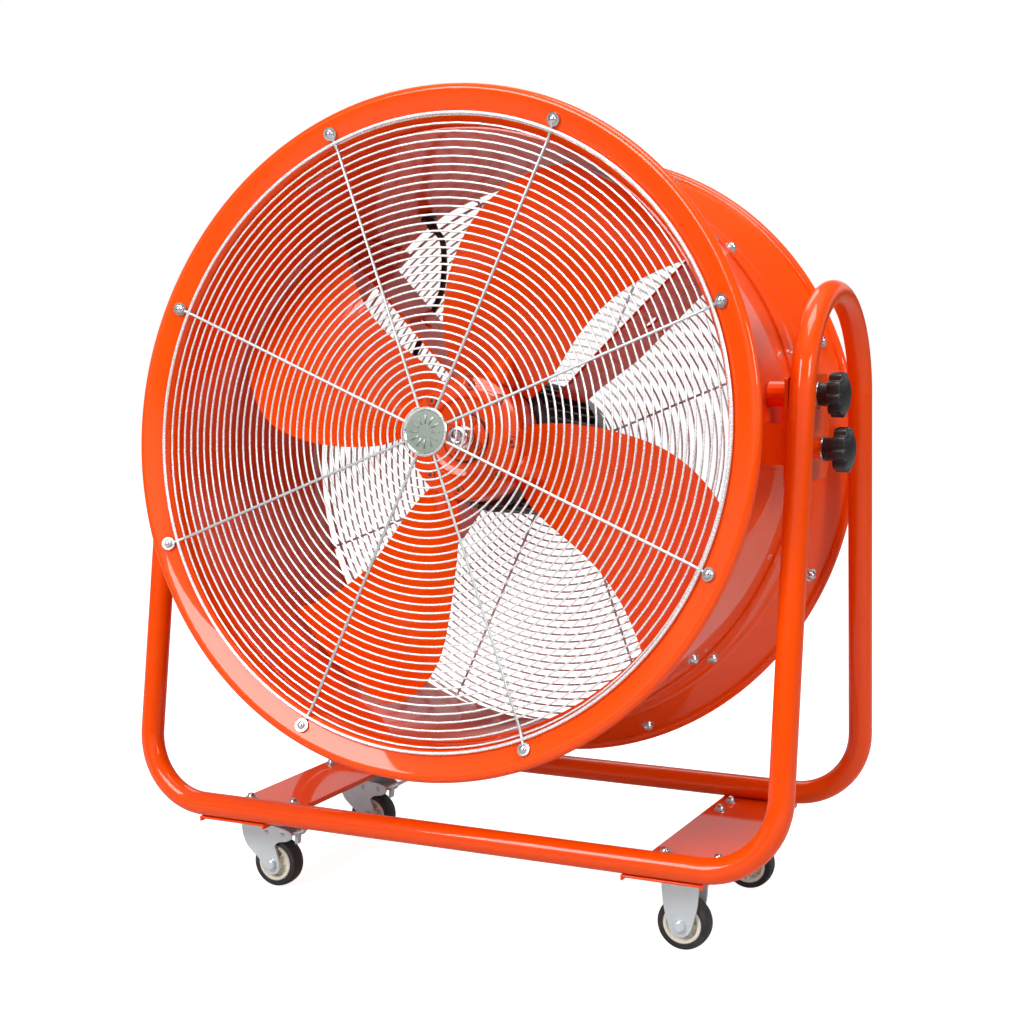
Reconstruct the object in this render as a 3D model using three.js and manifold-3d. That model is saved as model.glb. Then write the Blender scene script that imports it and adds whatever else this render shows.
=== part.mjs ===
// Axial air mover: drum fan tilting in a bent-tube cradle on four casters.
// Units are millimetres, +Z up, origin on the floor under the middle of the drum.
import * as THREE from 'three';
import { mergeVertices } from 'three/addons/utils/BufferGeometryUtils.js';
import Module from 'manifold-3d';

const wasm = await Module();
wasm.setup();

// drum, in its own frame: axis along Y, front at minus Y
const drumTiltDeg = -7.18;
const drumAxisHeight = 497;
const shellInner = 310, shellOuter = 312, shellFront = -151, shellBack = 110;
const flangeRadius = 350.4, flangeFront = -180.5;
const ringSegs = 40;
const pivotY = -25.2, lockRadius = 54;

// guards
const wireRadius = 1.25, frontWireY = -170.4, frontSpokeY = -171.7;
const rearWireY = 164.3, rearSpokeY = 165.5;
const guardOuter = 320.5, badgeRadius = 25;

// impeller
const hubRadius = 66, hubBoltCircle = 55.5, hubMidY = -66, bladeAngle0 = 66.5, tipRadius = 303;
const shaftRadius = 12, shankRadius = 13;

// motor
const motorCore = 66, motorFin = 76, motorBore = 42;

// cradle
const tubeRadius = 12.7, tubeBore = 10.9, sideX = 365.2, railZ = 102, cornerR = 76, jointRise = 5;
const frontRailY = -163, frontLean = 0.148, rearRailY = 148, rearLean = -0.058;
const archCentreZ = 545;
const plateInX = 348.6, plateOutX = 352.2;

// casters
const wheelR = 27.5, casterX = 252, frontCasterY = -103.5, rearCasterY = 107, trail = 20;
const sheetTop = 89, sheetBottom = 86.3, casterTop = 86;

const group = new THREE.Group();
const rad = (d) => (d * Math.PI) / 180;
const v2 = (a) => a.map(([x, y]) => new THREE.Vector2(x, y));

function bare(geometry) {
  const g = geometry.clone();
  g.deleteAttribute('normal');
  g.deleteAttribute('uv');
  return mergeVertices(g, 1e-4);
}

function solid(geometry) {
  const g = bare(geometry);
  return new wasm.Manifold(new wasm.Mesh({
    numProp: 3,
    vertProperties: new Float32Array(g.attributes.position.array),
    triVerts: new Uint32Array(g.index.array),
  }));
}

function geom(manifold) {
  const mesh = manifold.getMesh();
  const g = new THREE.BufferGeometry();
  g.setAttribute('position', new THREE.BufferAttribute(new Float32Array(mesh.vertProperties), 3));
  g.setIndex(new THREE.BufferAttribute(new Uint32Array(mesh.triVerts), 1));
  return g;
}

const cut = (base, ...tools) => geom(tools.reduce((m, t) => m.subtract(solid(t)), solid(base)));
const join = (base, ...more) => geom(more.reduce((m, t) => m.add(solid(t)), solid(base)));
const weld = (list) => geom(list.map(solid).reduce((m, t) => m.add(t)));

function add(name, geometry, colour, metal = 0.2, rough = 0.4) {
  const g = bare(geometry);
  g.computeVertexNormals();
  const material = new THREE.MeshStandardMaterial({ color: colour, metalness: metal, roughness: rough });
  const mesh = new THREE.Mesh(g, material);
  mesh.name = name;
  group.add(mesh);
}

// basic shapes
function box(x0, x1, y0, y1, z0, z1) {
  const g = new THREE.BoxGeometry(x1 - x0, y1 - y0, z1 - z0);
  return g.translate((x0 + x1) / 2, (y0 + y1) / 2, (z0 + z1) / 2);
}
// keeps every turned profile the same way round, so its faces point outwards
function outwards(profile) {
  const area = profile.reduce((sum, [r, y], i) => {
    const [r2, y2] = profile[(i + 1) % profile.length];
    return sum + r * y2 - r2 * y;
  }, 0);
  return area > 0 ? profile : [...profile].reverse();
}
// closed profile of [radius, y] pairs
function ring(profile, segs) {
  const p = outwards(profile);
  return new THREE.LatheGeometry(v2([...p, p[0]]), segs);
}
// open profile that starts and ends on the axis
function turned(profile, segs) {
  return new THREE.LatheGeometry(v2(outwards(profile)), segs);
}
const rod = (r, y0, y1, segs) => turned([[0, y0], [r, y0], [r, y1], [0, y1]], segs);
const collar = (ri, ro, y0, y1, segs) => ring([[ri, y0], [ro, y0], [ro, y1], [ri, y1]], segs);
const alongX = (g) => g.rotateZ(-Math.PI / 2);
const alongZ = (g) => g.rotateX(Math.PI / 2);

// path whose steps are exactly the given points
class StepPath extends THREE.Curve {
  constructor(points) {
    super();
    this.points = points;
  }
  getPointAt(u) {
    return this.points[Math.round(u * (this.points.length - 1))].clone();
  }
  getTangentAt(u) {
    const p = this.points, n = p.length - 1, i = Math.round(u * n);
    const before = i > 0 ? p[i].clone().sub(p[i - 1]).normalize() : null;
    const after = i < n ? p[i + 1].clone().sub(p[i]).normalize() : null;
    if (!before) return after;
    if (!after) return before;
    return before.add(after).normalize();
  }
}
function circlePoints(r, n, turn = 0) {
  return Array.from({ length: n }, (_, i) => {
    const a = turn + (2 * Math.PI * i) / n;
    return new THREE.Vector2(r * Math.cos(a), r * Math.sin(a));
  });
}
function swept(points, outer, inner, sides) {
  const shape = new THREE.Shape(circlePoints(outer, sides));
  if (inner > 0) shape.holes.push(new THREE.Path(circlePoints(inner, sides / 2).reverse()));
  return new THREE.ExtrudeGeometry(shape, {
    steps: points.length - 1, extrudePath: new StepPath(points), curveSegments: 1,
  });
}
function arcPoints(centre, from, to, steps) {
  const a = from.clone().sub(centre), b = to.clone().sub(centre);
  const r = a.length(), axis = a.clone().cross(b).normalize(), angle = a.angleTo(b);
  return Array.from({ length: steps + 1 }, (_, i) =>
    a.clone().setLength(r).applyAxisAngle(axis, (angle * i) / steps).add(centre));
}
// wire hoop with a triangular section, flat in the XZ plane
function hoop(r, y, w, segs) {
  const pts = [0, 1, 2].map((k) => {
    const a = Math.PI / 2 - (k * 2 * Math.PI) / 3;
    return [r + 1.1 * w * Math.cos(a), y - 1.1 * w * Math.sin(a)];
  });
  return ring(pts, segs);
}
function plate(points, thickness, hole = null) {
  const shape = new THREE.Shape(v2(points));
  if (hole) shape.holes.push(new THREE.Path(hole));
  return new THREE.ExtrudeGeometry(shape, { depth: thickness, bevelEnabled: false, steps: 1 });
}
// outline in XZ, thickness along Y
const plateXZ = (points, y0, y1, hole = null) =>
  plate(points, y1 - y0, hole).rotateX(Math.PI / 2).translate(0, y1, 0);
// outline in YZ, thickness along X
function plateYZ(points, x0, x1, hole = null) {
  const g = plate(points, x1 - x0, hole);
  g.applyMatrix4(new THREE.Matrix4().makeBasis(
    new THREE.Vector3(0, 1, 0), new THREE.Vector3(0, 0, 1), new THREE.Vector3(1, 0, 0)));
  return g.translate(x0, 0, 0);
}
const mirrorX = (g) => {
  const m = bare(g).applyMatrix4(new THREE.Matrix4().makeScale(-1, 1, 1));
  const idx = m.index.array;
  for (let i = 0; i < idx.length; i += 3) [idx[i], idx[i + 1]] = [idx[i + 1], idx[i]];
  return m;
};

// drum frame to world
const toWorld = (g) => g.rotateX(rad(drumTiltDeg)).translate(0, 0, drumAxisHeight);
// a piece built at radius r along local Z, turned to angle a (from plus X towards plus Z)
const atAngle = (g, a) => g.rotateY(rad(90 - a));

const paint = 0xff4a10, zinc = 0xc9d2da, black = 0x101012, cream = 0xe9e4cf;

// ---------- drum ----------
function buildDrum() {
  const shell = collar(shellInner, shellOuter, shellFront, shellBack, ringSegs);
  add('drum_shell', toWorld(shell), paint);
  const front = ring([
    [312.3, -128], [312.3, -152], [316, -166.5], [320.2, -171.6], [343, flangeFront], [348, -180],
    [flangeRadius, -174.6], [345.8, -169.6], [343.6, -177.4], [321.4, -169.6], [314.4, -151],
    [314.4, -128],
  ], ringSegs);
  add('front_inlet_ring', toWorld(front), paint);
  const rear = ring([
    [314.4, 70], [314.4, 107], [318.2, 118], [343.6, 172.2], [flangeRadius, 174.6], [346.4, 180.4],
    [341.8, 173.6], [316.2, 118.6], [312.3, 110], [312.3, 70],
  ], ringSegs);
  add('rear_outlet_bell', toWorld(weld([rear, ...bellFasteners()])), paint);
}

// rivets on the lap joint and nuts of the guard screws, all standing on the bell
const domeHead = (r, h) => turned([[0, -0.8], [r, -0.8], [r * 0.8, h * 0.7], [0, h]], 8);
const onDrum = (g, a, radius, y) => atAngle(g.rotateX(Math.PI / 2).translate(0, y, radius), a);
function bellFasteners() {
  const list = [];
  const slope = Math.atan2(25.4, 54.2);
  for (let i = 0; i < 4; i += 1) list.push(onDrum(domeHead(5, 3.2), 45 + 90 * i, 314.2, 84));
  for (let i = 0; i < 8; i += 1) {
    const nut = turned([[0, -1.2], [5.6, -1.2], [5.6, 3.4], [0, 7.2]], 6);
    nut.rotateX(Math.PI / 2 - slope).translate(0, 155.4, 335.7);
    list.push(atAngle(nut, 22.5 + 45 * i));
  }
  return list;
}

// ---------- guards ----------
function guardRings(y, count, outerY) {
  const list = [];
  const pitch = (guardOuter - badgeRadius - 7.3) / (count - 1);
  for (let i = 0; i < count; i += 1) {
    const r = guardOuter - i * pitch;
    list.push(hoop(r, i === 0 ? outerY : y, i === 0 ? 1.6 : wireRadius, Math.round(8 + r / 20)));
  }
  return list;
}
// one spoke, given as [radius, y] points, with its eyelet, screw and washer square to the face it sits on
function guardSpoke(spec) {
  const { side, seat, lean } = spec;
  const profile = [[0, -side], [6.2, -side * 1.1], [5, side * 2.4], [3, side * 5.8], [0, side * 6.1]];
  const screw = turned(profile, 6).rotateX(rad(lean)).translate(0, seat[1], seat[0]);
  const line = spec.spoke.map(([r, y]) => new THREE.Vector3(0, y, r));
  return weld([swept(line, wireRadius * 1.15, 0, 3), screw]);
}
function guard(spec) {
  const spokes = Array.from({ length: 8 }, (_, i) => atAngle(guardSpoke(spec), 22.5 + 45 * i));
  return weld([...guardRings(spec.wireY, spec.rings, spec.outerY), ...spokes, ...spec.extra]);
}
function badge(y, side) {
  const p = [[0, 1], [badgeRadius - 0.6, 1], [badgeRadius, 0], [badgeRadius - 0.6, -1],
    [badgeRadius - 3, -0.7], [0, -0.7]];
  return turned(p.map(([r, d]) => [r, y + side * d]), 24);
}
function buildGuards() {
  const front = {
    wireY: frontWireY, outerY: -175.75, side: -1, rings: 6, seat: [331, -177.9], lean: 21.3,
    spoke: [[8, frontSpokeY], [311.2, frontSpokeY], [316, -172.6], [322, -174.9], [330, -177.9]],
    extra: [collar(9, 20, frontSpokeY - 0.8, frontSpokeY + 1.2, 12)],
  };
  add('front_guard', toWorld(guard(front)), zinc, 0.9, 0.25);
  add('front_guard_badge', toWorld(badge(frontSpokeY - 2.5, -1)), 0x9aa39b, 0.5, 0.4);
  const rear = {
    wireY: rearWireY, outerY: 161.5, side: 1, rings: 4, seat: [329.7, 157.1], lean: -65,
    spoke: [[20, rearSpokeY], [306, rearSpokeY], [316, 164.5], [323.4, 160.7], [328.7, 158]],
    extra: [badge(rearSpokeY, 1)],
  };
  add('rear_guard', toWorld(guard(rear)), zinc, 0.9, 0.25);
}

// ---------- impeller ----------
const bladeTable = [
  // radius, angle and y of the leading edge, angle and y of the trailing edge, thickness
  [66.6, 27, -106, -25, -40, 6.4],
  [110, 31, -119, -24, -45, 5.4],
  [150, 28.5, -121, -20.5, -48, 4.8],
  [190, 25.2, -115, -19.5, -46, 4.4],
  [265, 16, -88, -23.4, -38, 3.6],
  [290, 10.4, -74, -25.4, -34, 3.3],
  [tipRadius, 5.4, -66, -26.4, -32, 3],
];
function bladeGeometry() {
  const chord = 5;
  const sides = [1, -1].map((s) => bladeTable.map(([r, la, ly, ta, ty, th]) =>
    Array.from({ length: chord + 1 }, (_, j) => {
      const t = j / chord, a = rad(ta + (la - ta) * t);
      const camber = Math.sin(Math.PI * t) * (r < 200 ? 9 : 6);
      const half = th * 0.5 * (0.35 + 0.65 * Math.sin(Math.PI * (0.08 + 0.84 * t)));
      const y = ty + (ly - ty) * t + camber + s * half;
      return [-r * Math.sin(a), y, r * Math.cos(a)];
    })));
  const verts = [], idx = [], rows = bladeTable.length, cols = chord + 1;
  sides.forEach((side) => side.forEach((row) => row.forEach((p) => verts.push(...p))));
  const at = (s, i, j) => s * rows * cols + i * cols + j;
  const quad = (a, b, c, d) => idx.push(a, c, b, a, d, c);
  for (let i = 0; i < rows - 1; i += 1) {
    for (let j = 0; j < chord; j += 1) {
      quad(at(0, i, j), at(0, i + 1, j), at(0, i + 1, j + 1), at(0, i, j + 1));
      quad(at(1, i, j), at(1, i, j + 1), at(1, i + 1, j + 1), at(1, i + 1, j));
    }
    quad(at(0, i, 0), at(1, i, 0), at(1, i + 1, 0), at(0, i + 1, 0));
    quad(at(0, i, chord), at(0, i + 1, chord), at(1, i + 1, chord), at(1, i, chord));
  }
  for (let j = 0; j < chord; j += 1) {
    quad(at(0, 0, j), at(0, 0, j + 1), at(1, 0, j + 1), at(1, 0, j));
    quad(at(0, rows - 1, j), at(1, rows - 1, j), at(1, rows - 1, j + 1), at(0, rows - 1, j + 1));
  }
  const g = new THREE.BufferGeometry();
  g.setAttribute('position', new THREE.Float32BufferAttribute(verts, 3));
  g.setIndex(idx);
  return g;
}
function buildImpeller() {
  const plateOnly = bladeGeometry();
  const shank = rod(shankRadius, 34, 70, 14).rotateX(Math.PI / 2).translate(0, hubMidY, 0);
  const shoulder = rod(17, 66.8, 72, 14).rotateX(Math.PI / 2).translate(0, hubMidY, 0);
  const one = join(plateOnly, shoulder, shank);
  const pocket = rod(shankRadius + 0.9, 20, 90, 12).rotateX(Math.PI / 2).translate(0, hubMidY, 0);
  const pockets = [0, 1, 2, 3].map((k) => atAngle(bare(pocket), bladeAngle0 + 90 * k));
  const frontHalf = ring([[26.4, -84], [40, -84], [43, -88.5], [63, -88.5], [hubRadius, -86],
    [hubRadius, -66.3], [56, -66.3], [56, -79.6], [26.4, -79.6]], 24);
  const rearHalf = ring([[26.4, -52.4], [56, -52.4], [56, -65.7], [hubRadius, -65.7], [hubRadius, -46],
    [63, -43], [26.4, -43]], 24);
  add('hub_rear_half', toWorld(cut(rearHalf, ...pockets)), paint);
  for (let k = 0; k < 4; k += 1) {
    add(`blade_${k + 1}`, toWorld(atAngle(bare(one), bladeAngle0 + 90 * k)), paint);
  }
  const bush = collar(shaftRadius + 0.3, 26, -86, -44, 20);
  const grub = (k) => atAngle(rod(3.5, -89, -85.4, 6).translate(0, 0, 19), 20 + 90 * k);
  add('taper_bush', toWorld(weld([bush, ...[0, 1, 2, 3].map(grub)])), paint);
  const rotor = turned([[0, -107], [10.8, -107], [shaftRadius, -105.6], [shaftRadius, -14], [40, -14],
    [40, 96], [9, 96], [9, 112], [0, 112]], 20);
  add('rotor_shaft', toWorld(rotor), zinc, 0.9, 0.3);
  const bolt = turned([[0, -4.6], [4.3, -4], [4.3, 1], [0, 1]], 6).translate(0, -88.4, hubBoltCircle);
  const bolts = [0, 1, 2, 3].flatMap((k) =>
    [-19.8, 19.8].map((d) => atAngle(bare(bolt), bladeAngle0 + 90 * k + d)));
  add('hub_front_half', toWorld(weld([cut(frontHalf, ...pockets), ...bolts])), paint);
}

// ---------- motor ----------
function buildMotor() {
  const fins = 20;
  const outline = [];
  for (let i = 0; i < fins; i += 1) {
    const a = (2 * Math.PI * i) / fins, w = (2 * Math.PI) / fins;
    for (const [f, r] of [[0, motorCore], [0.42, motorCore], [0.48, motorFin], [0.66, motorFin]]) {
      outline.push(new THREE.Vector2(r * Math.cos(a + f * w), r * Math.sin(a + f * w)));
    }
  }
  const shape = new THREE.Shape(outline);
  shape.holes.push(new THREE.Path(circlePoints(motorBore, 24).reverse()));
  const body = new THREE.ExtrudeGeometry(shape, { depth: 122, bevelEnabled: false, steps: 1 });
  body.rotateX(Math.PI / 2).translate(0, 104, 0);
  add('motor_body', toWorld(body), black, 0.3, 0.5);
  const front = ring([[13, -34], [30, -34], [36, -30], [66, -26], [71, -22], [71, -18.3], [41, -18.3],
    [41, -20], [13, -20]], 22);
  const rear = turned([[0, 142], [30, 142], [60, 140], [73, 134], [76, 126], [76, 104.3], [69, 104.3],
    [69, 122], [20, 124], [0, 124]], 22);
  const bearing = (y0, y1, ri, ro) => collar(ri, ro, y0, y1, 16);
  add('motor_front_cover', toWorld(weld([front, bearing(-20.5, -15, 12.3, 30)])), black, 0.3, 0.5);
  add('motor_rear_cover', toWorld(weld([rear, bearing(97, 124.5, 9.3, 22)])), black, 0.3, 0.5);
}
// folded sheet arms between the motor and the drum wall
function buildArms() {
  const side = [[24, 76.4], [100, 76.4], [100, 96], [126, 150], [126, 303.4], [20, 303.4], [20, 130]];
  const web = plateYZ(side, -1.6, 1.6);
  const foot = box(-1.6, 26, 20, 126, 303, 306.4);
  const opening = rod(9, -20, 20, 12).rotateZ(Math.PI / 2).translate(0, 72, 200);
  const boltHead = (y) => domeHead(5.4, 4).rotateX(-Math.PI / 2).translate(12, y, 303.2);
  const arm = weld([cut(web, opening), foot, boltHead(32), boltHead(116)]);
  for (let i = 0; i < 4; i += 1) add(`motor_arm_${i + 1}`, toWorld(atAngle(bare(arm), 45 + 90 * i)), paint);
}

// ---------- electrics on the drum ----------
const boxAngle = 119;
function onWall(g) {
  return toWorld(atAngle(g, boxAngle));
}
function buildElectrics() {
  const w = 42, top = 358;
  const outer = box(-w, w, -40, 66, 313, top);
  const inner = box(-w + 2.4, w - 2.4, -37.6, 63.6, 315.4, top + 1);
  const lid = box(-w, w, -40, 66, top + 0.3, top + 3);
  const gland = rod(9, 65, 80, 12).translate(0, 0, 336);
  const knobPost = rod(9, top + 2, top + 6, 16).rotateX(Math.PI / 2).translate(0, 10, 0);
  add('terminal_box', onWall(weld([cut(outer, inner), gland])), paint);
  add('terminal_box_lid', onWall(weld([lid, knobPost])), paint);
  const inlet = rod(8, 303.8, 308.5, 12).rotateX(Math.PI / 2).translate(0, 80, 0);
  add('lead_gland', onWall(inlet), black, 0, 0.5);
  const dial = rod(13, 0, 6, 20).rotateX(Math.PI / 2);
  const grip = box(-3, 3, -12, 12, 5, 13);
  add('switch_knob', onWall(weld([dial, grip]).translate(0, 10, top + 6.3)), black, 0, 0.45);
  // motor lead from the inlet to the motor
  const route = [[119, 302.6, 80], [118.8, 288, 81], [118.6, 275, 86], [121.3, 258, 98], [124.6, 247, 110],
    [128.8, 239, 124], [135.3, 233, 134], [141, 226, 135], [146.3, 221, 134], [150, 214, 130], [156, 192, 120],
    [160, 160, 106], [160, 125, 94], [157, 100, 86], [155, 78.4, 82]]; // angle, radius, y
  const pts = route.map(([a, r, y]) => new THREE.Vector3(r * Math.cos(rad(a)), y, r * Math.sin(rad(a))));
  const curve = new THREE.CatmullRomCurve3(pts, false, 'centripetal');
  add('motor_lead', toWorld(swept(curve.getSpacedPoints(20), 3.6, 0, 8)), black, 0, 0.5);
}

// ---------- pivots ----------
// right side, drum frame: block on the drum wall with pivot and lock threads
function sideMount() {
  const block = box(312.4, 348.2, pivotY - 67, pivotY + 67, -20, 20);
  const boss = alongX(rod(13, 309.9, 348.2, 16)).translate(0, pivotY, lockRadius);
  const hole = (z) => alongX(rod(6.35, 318, 352, 16)).translate(0, pivotY, z);
  const web = box(324, 346, pivotY - 4, pivotY + 4, 18, lockRadius);
  return cut(weld([block, boss, web]), hole(0), hole(lockRadius));
}
function starKnob(x0) {
  const lobes = 8, outline = [];
  for (let i = 0; i < lobes * 3; i += 1) {
    const a = (2 * Math.PI * (i - 0.5)) / (lobes * 3);
    const r = [22.6, 22.6, 19.4][i % 3];
    outline.push(new THREE.Vector2(r * Math.cos(a), r * Math.sin(a)));
  }
  const star = new THREE.ExtrudeGeometry(new THREE.Shape(outline), { depth: 13.6, bevelEnabled: false });
  star.rotateY(Math.PI / 2).translate(x0 + 11.6, 0, 0);
  const dome = alongX(turned([[0, -0.6], [18.8, -0.6], [17, 2.4], [0, 4.6]], 12)).translate(x0 + 25.2, 0, 0);
  const neck = alongX(rod(11.5, 0, 12.2, 10)).translate(x0, 0, 0);
  return join(star, dome, neck);
}
// stud, washer and knob; gap0 is the outer face the washer bears on
function clampKnob(gap0, spacer) {
  const face = gap0 + spacer + 0.3;
  const stud = rod(5.9, 322, face + 4, 10), washer = rod(12.4, face, face + 2, 12);
  const parts = [alongX(stud), alongX(washer), starKnob(face + 1.8)];
  if (spacer > 1) parts.push(alongX(rod(11.4, gap0 + 0.3, face + 1, 12)));
  return weld(parts);
}
const pivotZ = drumAxisHeight + pivotY * Math.sin(rad(drumTiltDeg));
const pivotYw = pivotY * Math.cos(rad(drumTiltDeg));
function pivotPlate() {
  const y0 = -100, y1 = 47, z0 = 467, z1 = 573, c = 10;
  const outline = [[y0, z0 + 2], [y0 + 2, z0], [y1 - c, z0], [y1, z0 + c], [y1, z1 - c], [y1 - c, z1],
    [y0 + 2, z1], [y0, z1 - 2]];
  const slot = [];
  const halfAngle = 37.6, w = 6.9;
  for (let i = 0; i <= 8; i += 1) {
    const a = rad(-halfAngle + (2 * halfAngle * i) / 8);
    slot.push([pivotYw + (lockRadius + w) * Math.sin(a), pivotZ + (lockRadius + w) * Math.cos(a)]);
  }
  const end = rad(halfAngle) + 0.085;
  slot.push([pivotYw + lockRadius * Math.sin(end + 0.04), pivotZ + lockRadius * Math.cos(end + 0.04)]);
  for (let i = 8; i >= 0; i -= 1) {
    const a = rad(-halfAngle + (2 * halfAngle * i) / 8);
    slot.push([pivotYw + (lockRadius - w) * Math.sin(a), pivotZ + (lockRadius - w) * Math.cos(a)]);
  }
  slot.push([pivotYw - lockRadius * Math.sin(end + 0.04), pivotZ + lockRadius * Math.cos(end + 0.04)]);
  const sheet = plateYZ(outline, plateInX, plateOutX, v2(slot));
  const bore = alongX(rod(6.3, 340, 380, 20)).translate(0, pivotYw, pivotZ);
  const boss = alongX(rod(11.5, plateOutX - 1, plateOutX + 13.6, 18)).translate(0, pivotYw, pivotZ);
  return cut(weld([sheet, boss]), bore);
}
function buildPivots() {
  const pairs = [
    ['side_mount', toWorld(sideMount()), paint, 0.2],
    ['pivot_plate', pivotPlate(), paint, 0.2],
    ['pivot_knob', toWorld(clampKnob(plateOutX + 13.6, 0.1).translate(0, pivotY, 0)), black, 0],
    ['lock_knob', toWorld(clampKnob(plateOutX, 6.4).translate(0, pivotY, lockRadius)), black, 0],
  ];
  for (const [name, g, colour, metal] of pairs) {
    add(`${name}_right`, g, colour, metal);
    add(`${name}_left`, mirrorX(g), colour, metal);
  }
}

// ---------- cradle of bent tube ----------
const frontY = (z) => frontRailY + frontLean * (z - railZ);
const rearY = (z) => rearRailY + rearLean * (z - railZ);
function railWithCorners(y0, lean) {
  const up = new THREE.Vector3(0, lean, 1).normalize();
  const corner = (s) => {
    const foot = new THREE.Vector3(s * sideX, y0, railZ);
    const onRail = foot.clone().add(new THREE.Vector3(-s * cornerR, 0, 0));
    const onPost = foot.clone().addScaledVector(up, cornerR);
    const centre = onRail.clone().addScaledVector(up, cornerR);
    return [...arcPoints(centre, onRail, onPost, 6), onPost.clone().addScaledVector(up, jointRise)];
  };
  const pts = [...corner(-1).reverse(), ...corner(1)];
  return swept(pts, tubeRadius, tubeBore, 12);
}
function sideLoop(s) {
  const upF = new THREE.Vector3(0, frontLean, 1).normalize();
  const upR = new THREE.Vector3(0, rearLean, 1).normalize();
  const rise = cornerR + jointRise + 0.3;
  const start = new THREE.Vector3(s * sideX, frontRailY, railZ).addScaledVector(upF, rise);
  const stop = new THREE.Vector3(s * sideX, rearRailY, railZ).addScaledVector(upR, rise);
  const yf = frontY(archCentreZ), yr = rearY(archCentreZ);
  const kf = upF.z, kr = upR.z;
  const radius = (yr - yf) / (1 / kf + 1 / kr);
  const centre = new THREE.Vector3(s * sideX, yf + radius / kf, archCentreZ);
  const touchF = centre.clone().add(new THREE.Vector3(0, -upF.z, upF.y).multiplyScalar(radius));
  const touchR = centre.clone().add(new THREE.Vector3(0, upR.z, -upR.y).multiplyScalar(radius));
  const crown = centre.clone().add(new THREE.Vector3(0, 0, radius));
  const first = arcPoints(centre, touchF, crown, 6), second = arcPoints(centre, crown, touchR, 7);
  return swept([start, ...first, ...second.slice(1), stop], tubeRadius, tubeBore, 12);
}
function crossPlate() {
  const x0 = 208, x1 = 292, t = 2.7, lip = 83.2;
  const section = [[x0, lip], [x0 + t, lip], [x0 + t, sheetBottom], [x1 - t, sheetBottom], [x1 - t, lip],
    [x1, lip], [x1, sheetTop], [x0, sheetTop]];
  const sheet = plateXZ(section, -169, 155);
  const bolts = casterBoltSpots(1).map(([x, y]) => {
    const b = turned([[0, 79.4], [3.9, 79.4], [3.9, sheetTop - 0.6], [6.6, sheetTop - 0.6], [6.4, 92.6],
      [0, 96.8]], 6);
    return alongZ(b).translate(x, y, 0);
  });
  return weld([sheet, ...bolts]);
}
function casterBoltSpots(s) {
  const spots = [];
  for (const cy of [frontCasterY, rearCasterY]) {
    for (const dx of [-28.6, 28.6]) for (const dy of [-18.5, 18.5]) spots.push([s * casterX + dx, cy + dy]);
  }
  return spots;
}
function buildCradle() {
  add('front_rail', railWithCorners(frontRailY, frontLean), paint);
  add('rear_rail', railWithCorners(rearRailY, rearLean), paint);
  add('side_loop_right', sideLoop(1), paint);
  add('side_loop_left', sideLoop(-1), paint);
  const right = crossPlate();
  add('cross_plate_right', right, paint);
  add('cross_plate_left', mirrorX(right), paint);
}

// ---------- casters ----------
const boltGaps = () => [[-28.6, -18.5], [28.6, -18.5], [-28.6, 18.5], [28.6, 18.5]].map(([x, y]) =>
  alongZ(rod(4.4, 70, 95, 8)).translate(x, y, 0));
const circleHole = (x, z, r, n) => circlePoints(r, n).reverse()
  .map((p) => new THREE.Vector2(p.x + x, p.y + z));
function swivelPlate() {
  const flat = box(-36, 36, -27, 27, 83.2, casterTop);
  const race = alongZ(rod(20.5, 75.6, 84, 16));
  return cut(join(flat, race), ...boltGaps());
}
function forkShape(reach) {
  const z = wheelR;
  const leg = [[-19, 75], [-18.5, 62], [-12, 48], [reach - 14, 30], [reach - 9, z - 9], [reach, z - 12],
    [reach + 9, z - 8], [reach + 11.5, z], [reach + 8, z + 10], [reach - 1, 46], [reach - 1, 56],
    [19, 66], [19, 75]];
  const legs = [-1, 1].map((s) => plateXZ(leg, s > 0 ? 13.2 : -15.8, s > 0 ? 15.8 : -13.2,
    circleHole(reach, z, 4.3, 12)));
  return legs;
}
function swivelFork() {
  const crown = box(-19, 19, -15.8, 15.8, 72.4, 75.2);
  const pin = alongZ(rod(7, 66, 72.5, 10));
  return join(crown, ...forkShape(trail), pin);
}
function rigidBracket() {
  const z = wheelR;
  const leg = [[-20, 84], [-20, 70], [-18.5, 48], [-12, z - 3], [-7, z - 10], [0, z - 12.5], [7, z - 10],
    [12, z - 3], [18.5, 48], [20, 70], [20, 84]];
  const legs = [[-15.8, -13.2], [13.2, 15.8]].map(([a, b]) => plateXZ(leg, a, b, circleHole(0, z, 4.3, 12)));
  const flat = box(-36, 36, -27, 27, 83.2, casterTop);
  return cut(join(flat, ...legs), ...boltGaps());
}
function wheelCore() {
  return ring([[4.35, -11.8], [8.6, -11.8], [9.4, -5.6], [15.4, -5.4], [19.6, -9.8], [19.6, 9.8], [15.4, 5.4],
    [9.4, 5.6], [8.6, 11.8], [4.35, 11.8]], 14).translate(0, 0, wheelR);
}
function wheelTyre() {
  return ring([[20.4, -10], [25, -10], [wheelR, -4], [wheelR, 4], [25, 10], [20.4, 10]], 24)
    .translate(0, 0, wheelR);
}
function axle() {
  return turned([[0, -20.6], [6, -20.6], [6, -16.1], [3.9, -16.1], [3.9, 16.1], [6.4, 16.1], [6.4, 20.8],
    [0, 20.8]], 10).translate(0, 0, wheelR);
}
function brakePedal() {
  const outline = [[14, 60], [30, 59], [42, 61.4], [62, 69], [61, 71.4], [41, 64.6], [30, 62.6], [14, 63.4]];
  const sheet = plateXZ(outline, -12.4, 12.4);
  const bar = rod(2.4, -12.4, 12.4, 8).translate(22, 0, 61.4);
  const tread = box(44, 47, -12, 12, 64.6, 67.6);
  return join(sheet, bar, tread);
}
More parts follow.
